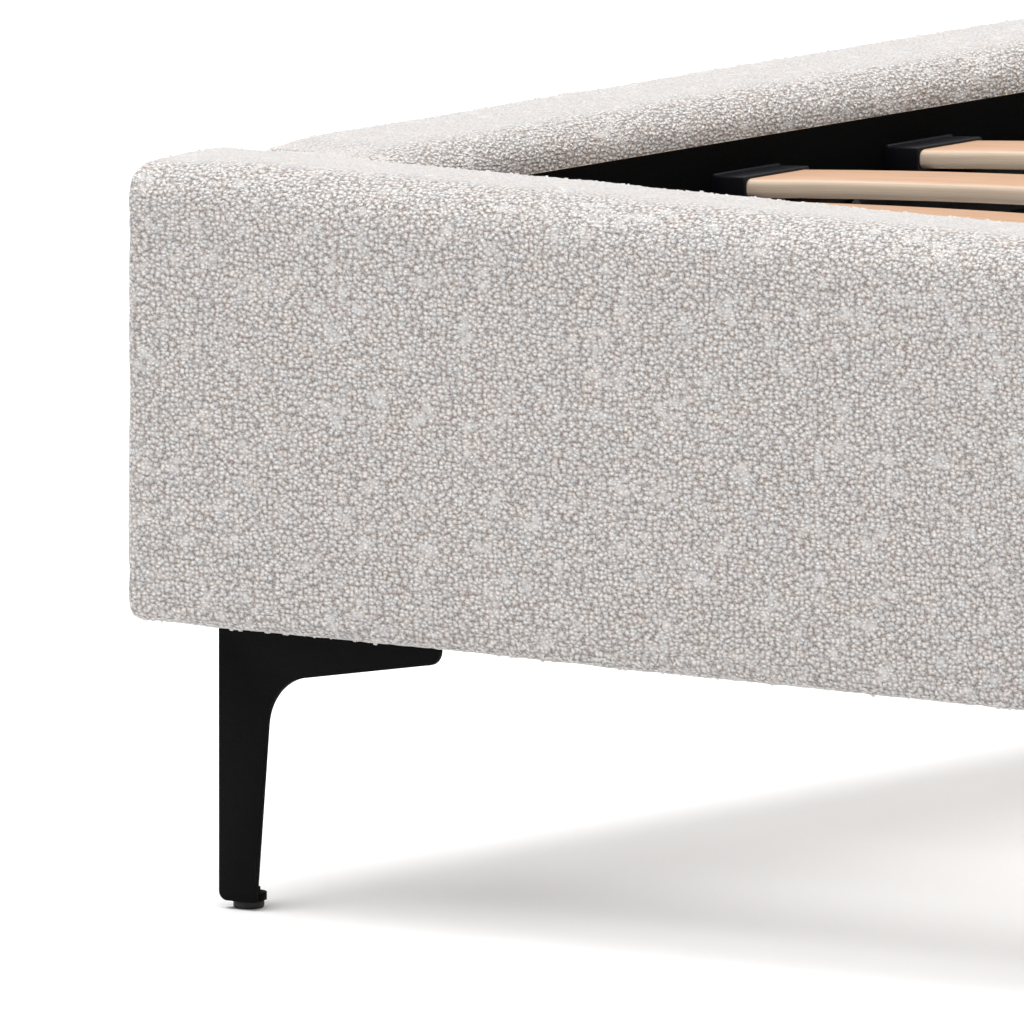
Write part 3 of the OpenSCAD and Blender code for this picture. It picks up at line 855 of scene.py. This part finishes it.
@dataclass
class Upholstery:
    """All padded covers, sized from the frame's own cover nodes."""

    rail_spacing: float = 9 * MM
    headboard_spacing: float = 14 * MM
    panel_spacing: float = 24 * MM
    foot_radii: tuple[float, float, float, float] = (9 * MM, 9 * MM, 40 * MM, 25 * MM)
    side_radii: tuple[float, float, float, float] = (9 * MM, 9 * MM, 23 * MM, 30 * MM)
    head_radii: tuple[float, float, float, float] = (9 * MM, 9 * MM, 35 * MM, 22 * MM)
    liner_recess: float = 2.2 * MM
    crease_depth: float = 2.5 * MM
    tuck: float = 10 * MM
    swell: float = 4.5 * MM
    joint_drop: float = 3 * MM
    joint_span: Span = (0.0, 40 * MM)
    edge_pull: float = 0.24
    front_pull_span: Span = (0.0, 60 * MM)
    back_pull_span: Span = (70 * MM, 140 * MM)
    end_sink: float = 2.2 * MM
    end_sink_edges: float = 3.5 * MM
    end_sink_span: Span = (0.0, 70 * MM)
    crease_start: Span = (10 * MM, 40 * MM)
    crease_end: Span = (80 * MM, 140 * MM)
    pillow: float = 8 * MM
    pieces: list[bpy.types.Object] = field(default_factory=list)

    def build(self, wardrobe: Wardrobe) -> None:
        """Builds the covers of the three rails and of the headboard."""
        self.pieces.append(self._foot(wardrobe))
        for side, node in ((-1, "left_rail_cover"), (1, "right_rail_cover")):
            self.pieces.append(self._side(wardrobe, side, node))
        self.pieces.append(self._headboard(wardrobe))
        loops = YarnLoops()
        self.pieces += [loops.build(cover, wardrobe) for cover in list(self.pieces)]
        self.pieces.append(self._back_panel(wardrobe))

    def _foot(self, wardrobe: Wardrobe) -> bpy.types.Object:
        """The cover of the foot rail, pulled tight at its corners and creased beside the side rails."""
        low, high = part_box("foot_rail_cover")
        liner_low, liner_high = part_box("foot_rail_liner")
        size = high - low
        length = size.x + 2 * self.swell

        def pulled(p: np.ndarray) -> np.ndarray:
            """Draws the long edges tighter near the ends and lets the back dip beside the joints."""
            from_end = np.minimum(p[:, 0], length - p[:, 0])
            front_pull = self.edge_pull * (1 - soft_step(from_end, *self.front_pull_span))
            back_pull = self.edge_pull * (1 - soft_step(from_end, *self.back_pull_span))
            p = tightened(p, size.z, self.foot_radii[3], 0.0, front_pull)
            p = tightened(p, size.z, self.foot_radii[2], size.y, back_pull)
            sink = self.end_sink + self.end_sink_edges * (2 * p[:, 1] / size.y - 1) ** 2
            sink *= 1 - soft_step(from_end, *self.end_sink_span)
            p[:, 2] -= sink * soft_step(p[:, 2], size.z * 0.8, size.z)
            near = soft_step(from_end, *self.crease_start) * (1 - soft_step(from_end, *self.crease_end))
            back = soft_step(p[:, 1], size.y * 0.4, size.y)
            p[:, 2] -= self.crease_depth * near * back * soft_step(p[:, 2], size.z * 0.8, size.z)
            return p

        profile = Profile(
            size.y, size.z, self.foot_radii, self.rail_spacing,
            self.liner_recess, liner_low.z - low.z, liner_high.z - low.z,
        )
        cover = PaddedCover(
            "foot_rail_boucle", ("foot_rail_cover", "foot_rail_foam"), low - Vector((self.swell, 0, 0)),
            Vector((1, 0, 0)), Vector((0, 1, 0)), length, profile,
            (6 * MM, 6 * MM), (10 * MM, 10 * MM), 9 * MM, shape=pulled,
        )
        return cover.build(wardrobe)

    def _side(self, wardrobe: Wardrobe, side: int, node: str) -> bpy.types.Object:
        """The cover of one side rail, tucked against the foot rail."""
        low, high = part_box(node)
        liner_low, liner_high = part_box(node.replace("cover", "liner"))
        size = high - low
        outer_x = (low.x if side < 0 else high.x) + side * self.swell

        def sunk(p: np.ndarray) -> np.ndarray:
            """Lets the top fall towards the crease at the foot rail."""
            p = p.copy()
            fall = self.joint_drop * (1 - soft_step(p[:, 0], *self.joint_span))
            p[:, 2] -= fall * soft_step(p[:, 2], size.z * 0.7, size.z)
            return p

        profile = Profile(
            size.x + self.swell, size.z, self.side_radii, self.rail_spacing,
            self.liner_recess, liner_low.z - low.z, liner_high.z - low.z,
        )
        cover = PaddedCover(
            node.replace("cover", "boucle"), (node, node.replace("cover", "foam")),
            Vector((outer_x, low.y - self.tuck, low.z)), Vector((0, 1, 0)), Vector((-side, 0, 0)),
            size.y + self.tuck, profile, (4 * MM, 6 * MM), (4 * MM, 3 * MM), 3 * MM, shape=sunk,
        )
        return cover.build(wardrobe)

    def _headboard(self, wardrobe: Wardrobe) -> bpy.types.Object:
        """The cover of the headboard, with a recess at the back for its panel."""
        low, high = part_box("headboard_cover")
        panel_low, panel_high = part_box("headboard_back_panel")
        size = high - low
        profile = Profile(
            size.y, size.z, self.head_radii, self.headboard_spacing,
            2.5 * MM, panel_low.z - low.z, panel_high.z - low.z, True,
        )
        cover = PaddedCover(
            "headboard_boucle", ("headboard_cover", "headboard_foam"),
            Vector((low.x - self.swell, high.y, low.z)), Vector((1, 0, 0)), Vector((0, -1, 0)),
            size.x + 2 * self.swell, profile, (30 * MM, 30 * MM), (20 * MM, 20 * MM), 9 * MM,
            crown_face=0.0, crown_top=3 * MM, shape=lambda p: self._pillowed(p, size),
        )
        return cover.build(wardrobe)

    def _pillowed(self, p: np.ndarray, size: Vector) -> np.ndarray:
        """Swells the headboard's front, most at its middle."""
        u = 1 - np.abs(2 * p[:, 0] / size.x - 1) ** 4
        v = 1 - np.abs(2 * np.clip(p[:, 2] / size.z, 0, 1) - 1) ** 4
        front = soft_step(p[:, 1], size.y * 0.6, size.y * 0.98)
        swollen = p.copy()
        swollen[:, 1] += self.pillow * u * v * front
        return swollen

    def _back_panel(self, wardrobe: Wardrobe) -> bpy.types.Object:
        """The headboard's back panel, a thin padded sheet tucked into the cover."""
        low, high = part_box("headboard_back_panel")
        size = high - low
        thick = size.y + 2 * MM
        radius = 2.2 * MM
        profile = Profile(thick, size.z, (radius,) * 4, self.panel_spacing)
        cover = PaddedCover(
            "headboard_back_boucle", ("headboard_back_panel",), Vector((low.x, high.y + 1.5 * MM, low.z)),
            Vector((1, 0, 0)), Vector((0, -1, 0)), size.x, profile,
            (radius, radius), (radius, radius), radius, 0.0, 0.0,
        )
        return cover.build(wardrobe)


# ---------------------------------------------------------------- slats


@dataclass
class SlatBase:
    """The sprung slats: laminated bows with rounded long edges, two to a row."""

    edge_radius: float = 3.6 * MM
    steps: int = 28

    def build(self, wardrobe: Wardrobe) -> None:
        """Models one row of slats and copies it to every row."""
        low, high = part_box("slat_01")
        row = self._row(low, high, abs(self._inner_end("slat_01")))
        for i in range(1, SLAT_ROWS + 1):
            node = f"slat_{i:02d}"
            piece = row if i == 1 else row.copy()
            if i > 1:
                piece.data = row.data.copy()
                bpy.context.scene.collection.objects.link(piece)
                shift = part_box(node)[0].y - low.y
                piece.data.transform(Matrix.Translation((0, shift, 0)))
            piece.name = f"{node}_beech"
            wardrobe.dress(piece, Finish.BEECH)
            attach(piece, BED)
            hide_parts(node)

    @staticmethod
    def _inner_end(node: str) -> float:
        """How near the bed's middle line a slat begins."""
        points = points_of(frame["nodes"][node])
        return float(np.min(np.abs(points[:, 0])))

    def _row(self, low: Vector, high: Vector, inner: float) -> bpy.types.Object:
        """Spins a rounded section along the slat's bow, and mirrors it to the other side.

        Args:
            low: Lowest corner of the row's box.
            high: Highest corner of the row's box.
            inner: Distance from the middle line to where the slats begin.

        Returns:
            The row, with each point's unbent place stored on it.
        """
        points = points_of(frame["nodes"]["slat_01"])
        ends = points[np.abs(points[:, 0] - high.x) < 0.5 * MM]
        end_top = float(ends[:, 2].max())
        thick = float(ends[:, 2].max() - ends[:, 2].min())
        span = high.x - inner
        bow = high.z - end_top
        radius = (span * span / 4 + bow * bow) / (2 * bow)
        middle = Vector(((high.x + inner) / 2, 0, high.z - radius))
        half = math.asin(span / 2 / radius)
        width = high.y - low.y
        deselect()
        bpy.ops.mesh.primitive_plane_add(size=1, location=(0, 0, 0))
        piece = bpy.context.object
        piece.scale = (thick, width, 1)
        bpy.ops.object.transform_apply(location=False, rotation=False, scale=True)
        bpy.ops.object.mode_set(mode="EDIT")
        bpy.ops.mesh.bevel(offset=self.edge_radius, segments=4, affect="VERTICES")
        bpy.ops.mesh.select_all(action="SELECT")
        bpy.ops.object.mode_set(mode="OBJECT")
        flat = points_of(piece)
        y = flat[:, 1] + (low.y + high.y) / 2
        reach = radius - thick / 2 + flat[:, 0]
        start = np.column_stack([
            middle.x - reach * math.sin(half), y, middle.z + reach * math.cos(half),
        ])
        move_points(piece, start)
        bpy.ops.object.mode_set(mode="EDIT")
        bpy.ops.mesh.select_all(action="SELECT")
        bpy.ops.mesh.spin(steps=self.steps, angle=-2 * half, center=middle, axis=(0, 1, 0))
        bpy.ops.object.mode_set(mode="OBJECT")
        made = points_of(piece)
        if made[:, 0].max() < middle.x:
            raise RuntimeError("the slat was spun the wrong way")
        clean(piece)
        self._close_start(piece)
        self._store_unbent(piece, middle, radius)
        add_modifier(piece, "MIRROR", use_axis=(True, False, False), use_mirror_merge=False)
        apply_modifiers(piece)
        clean(piece)
        smooth(piece, math.radians(35))
        return piece

    @staticmethod
    def _close_start(piece: bpy.types.Object) -> None:
        """Fills any open end left by the spin."""
        pick(piece)
        bpy.ops.object.mode_set(mode="EDIT")
        bpy.ops.mesh.select_all(action="DESELECT")
        bpy.ops.mesh.select_mode(type="EDGE")
        bpy.ops.mesh.select_non_manifold(extend=False, use_multi_face=False, use_verts=False)
        bpy.ops.mesh.edge_face_add()
        bpy.ops.mesh.select_mode(type="VERT")
        bpy.ops.object.mode_set(mode="OBJECT")

    @staticmethod
    def _store_unbent(piece: bpy.types.Object, middle: Vector, radius: float) -> None:
        """Stores where each point lies on the flat, unbent slat."""
        p = points_of(piece)
        dx, dz = p[:, 0] - middle.x, p[:, 2] - middle.z
        unbent = np.column_stack([radius * np.arctan2(dx, dz), p[:, 1], np.hypot(dx, dz) - radius])
        layer = piece.data.attributes.new("unbent", "FLOAT_VECTOR", "POINT")
        layer.data.foreach_set("vector", unbent.astype(np.float32).ravel())


@dataclass
class SlatCaps:
    """The moulded holders that the slats' ends push into, tapering onto the slats."""

    lip: float = 1.3 * MM
    ease: float = 1.1 * MM
    play: float = 0.3 * MM
    end_wall: float = 2.2 * MM
    top_drop: float = 1.2 * MM
    drop_at_wall: float = 1.2 * MM

    def build(self, wardrobe: Wardrobe) -> None:
        """Builds the caps of both side rails and of the middle."""
        for node in ("slat_caps_left", "slat_caps_right", "slat_caps_centre"):
            low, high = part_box(node)
            mouths = {"left": (high.x,), "right": (low.x,), "centre": (low.x, high.x)}[node.split("_")[-1]]
            wall = 0.0 if len(mouths) == 2 else (low.x + high.x) - mouths[0]
            pieces = []
            for i in range(1, SLAT_ROWS + 1):
                row_low, row_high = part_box(f"slat_{i:02d}")
                middle = (row_low.y + row_high.y) / 2
                top = high.z - self.top_drop
                width = (row_high.y - row_low.y) + 2 * (self.lip + self.play)
                pieces += [self._holder(wall, mouth, middle, width, low.z, top) for mouth in mouths]
            pick(pieces[0])
            for piece in pieces[1:]:
                piece.select_set(True)
            bpy.ops.object.join()
            joined = bpy.context.object
            joined.name = f"{node}_part"
            clean(joined)
            add_modifier(
                joined, "BEVEL", width=self.ease, segments=3, limit_method="ANGLE",
                angle_limit=math.radians(40), use_clamp_overlap=True,
            )
            apply_modifiers(joined)
            smooth(joined, math.radians(50))
            wardrobe.dress(joined, Finish.CAP)
            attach(joined, BED)
            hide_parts(node)

    def _holder(
        self, wall: float, mouth: float, middle: float, width: float, low: float, top: float
    ) -> bpy.types.Object:
        """One open box from its wall to its mouth, its top falling towards the wall."""
        deselect()
        bpy.ops.mesh.primitive_cube_add(size=1, location=(0, 0, 0))
        piece = bpy.context.object
        corners = points_of(piece)
        at_mouth, upper = corners[:, 0] > 0, corners[:, 2] > 0
        placed = np.column_stack([
            np.where(at_mouth, mouth, wall),
            middle + corners[:, 1] * width,
            np.where(upper, np.where(at_mouth, top, top - self.drop_at_wall), low),
        ])
        move_points(piece, placed)
        outward = 1.0 if mouth > wall else -1.0
        for face in piece.data.polygons:
            face.select = all(abs(placed[v][0] - mouth) < 0.01 * MM for v in face.vertices)
        depth = abs(mouth - wall) - self.end_wall
        bpy.ops.object.mode_set(mode="EDIT")
        bpy.ops.mesh.select_mode(type="FACE")
        bpy.ops.mesh.inset(thickness=self.lip, use_even_offset=True)
        bpy.ops.mesh.extrude_region_move(TRANSFORM_OT_translate={"value": (-outward * depth, 0, 0)})
        bpy.ops.mesh.select_all(action="SELECT")
        bpy.ops.mesh.normals_make_consistent(inside=False)
        bpy.ops.mesh.select_mode(type="VERT")
        bpy.ops.object.mode_set(mode="OBJECT")
        return piece


# ---------------------------------------------------------------- hardware


@dataclass(frozen=True)
class Hardware:
    """A hard part whose edges are eased: it stands for one CAD node, on that node's body."""

    node: str
    finish: Finish
    ease: float
    body: str = BED

    def build(self, wardrobe: Wardrobe) -> bpy.types.Object:
        """Copies the node's mesh, merges it and rounds its edges.

        Returns:
            The finished piece.
        """
        source = frame["nodes"][self.node]
        piece = bpy.data.objects.new(f"{self.node}_part", source.data.copy())
        bpy.context.scene.collection.objects.link(piece)
        clean(piece, angle=math.radians(1.5))
        add_modifier(
            piece, "BEVEL", width=self.ease, segments=2, limit_method="ANGLE",
            angle_limit=math.radians(38), harden_normals=False, use_clamp_overlap=True,
        )
        apply_modifiers(piece)
        smooth(piece)
        wardrobe.dress(piece, self.finish)
        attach(piece, self.body)
        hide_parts(self.node)
        return piece


def hardware_list() -> list[Hardware]:
    """Every hard part that gets eased edges."""
    corners = [f"{end}_{side}" for end in ("foot", "head") for side in ("left", "right")]
    parts = [Hardware(f"leg_{corner}", Finish.STEEL, 0.7 * MM) for corner in corners]
    for name in corners + ["centre_foot", "centre_head"]:
        parts.append(Hardware(f"glide_{name}", Finish.GLIDE, 0.5 * MM, f"glide_{name}"))
    for node in ("slat_ledge_left", "slat_ledge_right", "beam_hangers", "corner_brackets"):
        parts.append(Hardware(node, Finish.STEEL, 0.6 * MM))
    parts.append(Hardware("centre_beam", Finish.STEEL, 1.2 * MM))
    parts += [Hardware(f"centre_leg_{end}", Finish.STEEL, 0.6 * MM) for end in ("foot", "head")]
    return parts


def dress_frame(wardrobe: Wardrobe) -> None:
    """Gives every CAD node that still shows the finish of its slot."""
    slots = {row["node"]: row["material_slot"] for row in frame["record"]["subparts"]}
    for node, piece in frame["nodes"].items():
        piece.data.materials.clear()
        piece.data.materials.append(wardrobe.materials[Finish(slots[node])])


# ---------------------------------------------------------------- studio


@dataclass(frozen=True)
class Studio:
    """A pale floor, soft light and a long lens that looks at the bed's foot corner."""

    azimuth: float = math.radians(37.2)
    elevation: float = math.radians(7.7)
    lens: float = 1650.0
    sensor: float = 36.0
    view_width: float = 0.525
    aim_right: float = 0.1969
    aim_up: float = -0.182
    floor_half: float = 60.0
    key_strength: float = 1.05
    key_rise: float = math.radians(62)
    key_spread: float = math.radians(42)
    fill_strength: float = 0.3
    fill_rise: float = math.radians(28)
    fill_spread: float = math.radians(60)
    sky_low: float = 0.1
    sky_high: float = 3.2
    sky_power: float = 3.0
    # Strength of the floor's camera-only glow, painted light that lightens the shadows on it.
    floor_shadow_lift_glow: float = 0.05
    floor_bounce: float = 0.84
    floor_seen: float = 0.95

    def build(self) -> None:
        """Sets up the camera, floor, light and picture tone."""
        self._camera()
        self._floor()
        self._light()
        bpy.context.scene.view_settings.view_transform = "Standard"

    def _camera(self) -> None:
        """Aims the camera at the foot-left corner."""
        sa, ca = math.sin(self.azimuth), math.cos(self.azimuth)
        se, ce = math.sin(self.elevation), math.cos(self.elevation)
        right = Vector((ca, sa, 0))
        up = Vector((-sa * se, ca * se, ce))
        forward = Vector((-sa * ce, ca * ce, -se))
        low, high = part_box("foot_rail_cover")
        corner = Vector((low.x, low.y, high.z))
        aim = corner + right * self.aim_right + up * self.aim_up
        data = bpy.data.cameras.new("camera")
        data.sensor_width = self.sensor
        data.lens = self.lens
        data.clip_end = 200.0
        camera = bpy.data.objects.new("camera", data)
        camera.location = aim - forward * (self.lens * self.view_width / self.sensor)
        camera.rotation_mode = "QUATERNION"
        camera.rotation_quaternion = forward.to_track_quat("-Z", "Y")
        bpy.context.scene.collection.objects.link(camera)
        bpy.context.scene.camera = camera

    def _floor(self) -> None:
        """Lays a plain white floor with a faint glow, seen by the camera alone, that paints light into its
        shadows.
        """
        deselect()
        bpy.ops.mesh.primitive_plane_add(size=2 * self.floor_half, location=(0, 0, 0))
        floor = bpy.context.object
        floor.name = "floor"
        # The glow is painted light: it lightens the shadows on the floor as the camera sees them.
        s = Shader("floor", Specular_IOR_Level=0.0, Emission_Strength=self.floor_shadow_lift_glow)
        seen = Value(s, s.node("ShaderNodeLightPath").outputs["Is Camera Ray"])
        s.feed(s.surface.inputs["Emission Color"], seen)
        white = seen * (self.floor_seen - self.floor_bounce) + self.floor_bounce
        floor.data.materials.append(s.finish(white))

    @staticmethod
    def _lamp(name: str, strength: float, spread: float, toward: Vector) -> None:
        """Adds one broad distant lamp that shines towards a direction."""
        sun = bpy.data.lights.new(name, "SUN")
        sun.energy = strength
        sun.angle = spread
        lamp = bpy.data.objects.new(name, sun)
        lamp.rotation_mode = "QUATERNION"
        lamp.rotation_quaternion = toward.to_track_quat("-Z", "Y")
        bpy.context.scene.collection.objects.link(lamp)

    def _light(self) -> None:
        """Adds a soft key from the foot end, a fill from the right and a surround brightest overhead."""
        self._lamp("key", self.key_strength, self.key_spread, Vector((0, 1, -math.tan(self.key_rise))))
        self._lamp("fill", self.fill_strength, self.fill_spread, Vector((-1, 0.1, -math.tan(self.fill_rise))))
        world = bpy.data.worlds.new("surround")
        world.use_nodes = True
        bpy.context.scene.world = world
        g = Graph(world.node_tree)
        height = g.parts(g.node("ShaderNodeTexCoord").outputs["Generated"])[2]
        sky = g.math("MAXIMUM", height, 0.0) ** self.sky_power * (self.sky_high - self.sky_low) + self.sky_low
        seen = Value(g, g.node("ShaderNodeLightPath").outputs["Is Camera Ray"])
        background = g.nodes["Background"]
        g.feed(background.inputs["Strength"], sky + seen * (1.0 - sky))
        g.feed(background.inputs["Color"], (1.0, 1.0, 1.0))


def main() -> None:
    """Builds the bed's looks in order and reports each step."""
    logging.basicConfig(level=logging.INFO, format="%(name)s: %(message)s")
    Studio().build()
    wardrobe = Wardrobe()
    dress_frame(wardrobe)
    log.info("frame dressed")
    upholstery = Upholstery()
    upholstery.build(wardrobe)
    for piece in upholstery.pieces:
        log.info("%s: %d faces", piece.name, len(piece.data.polygons))
    SlatBase().build(wardrobe)
    SlatCaps().build(wardrobe)
    log.info("slats done")
    for part in hardware_list():
        part.build(wardrobe)
    log.info("hardware done")


if __name__ == "__main__":
    main()
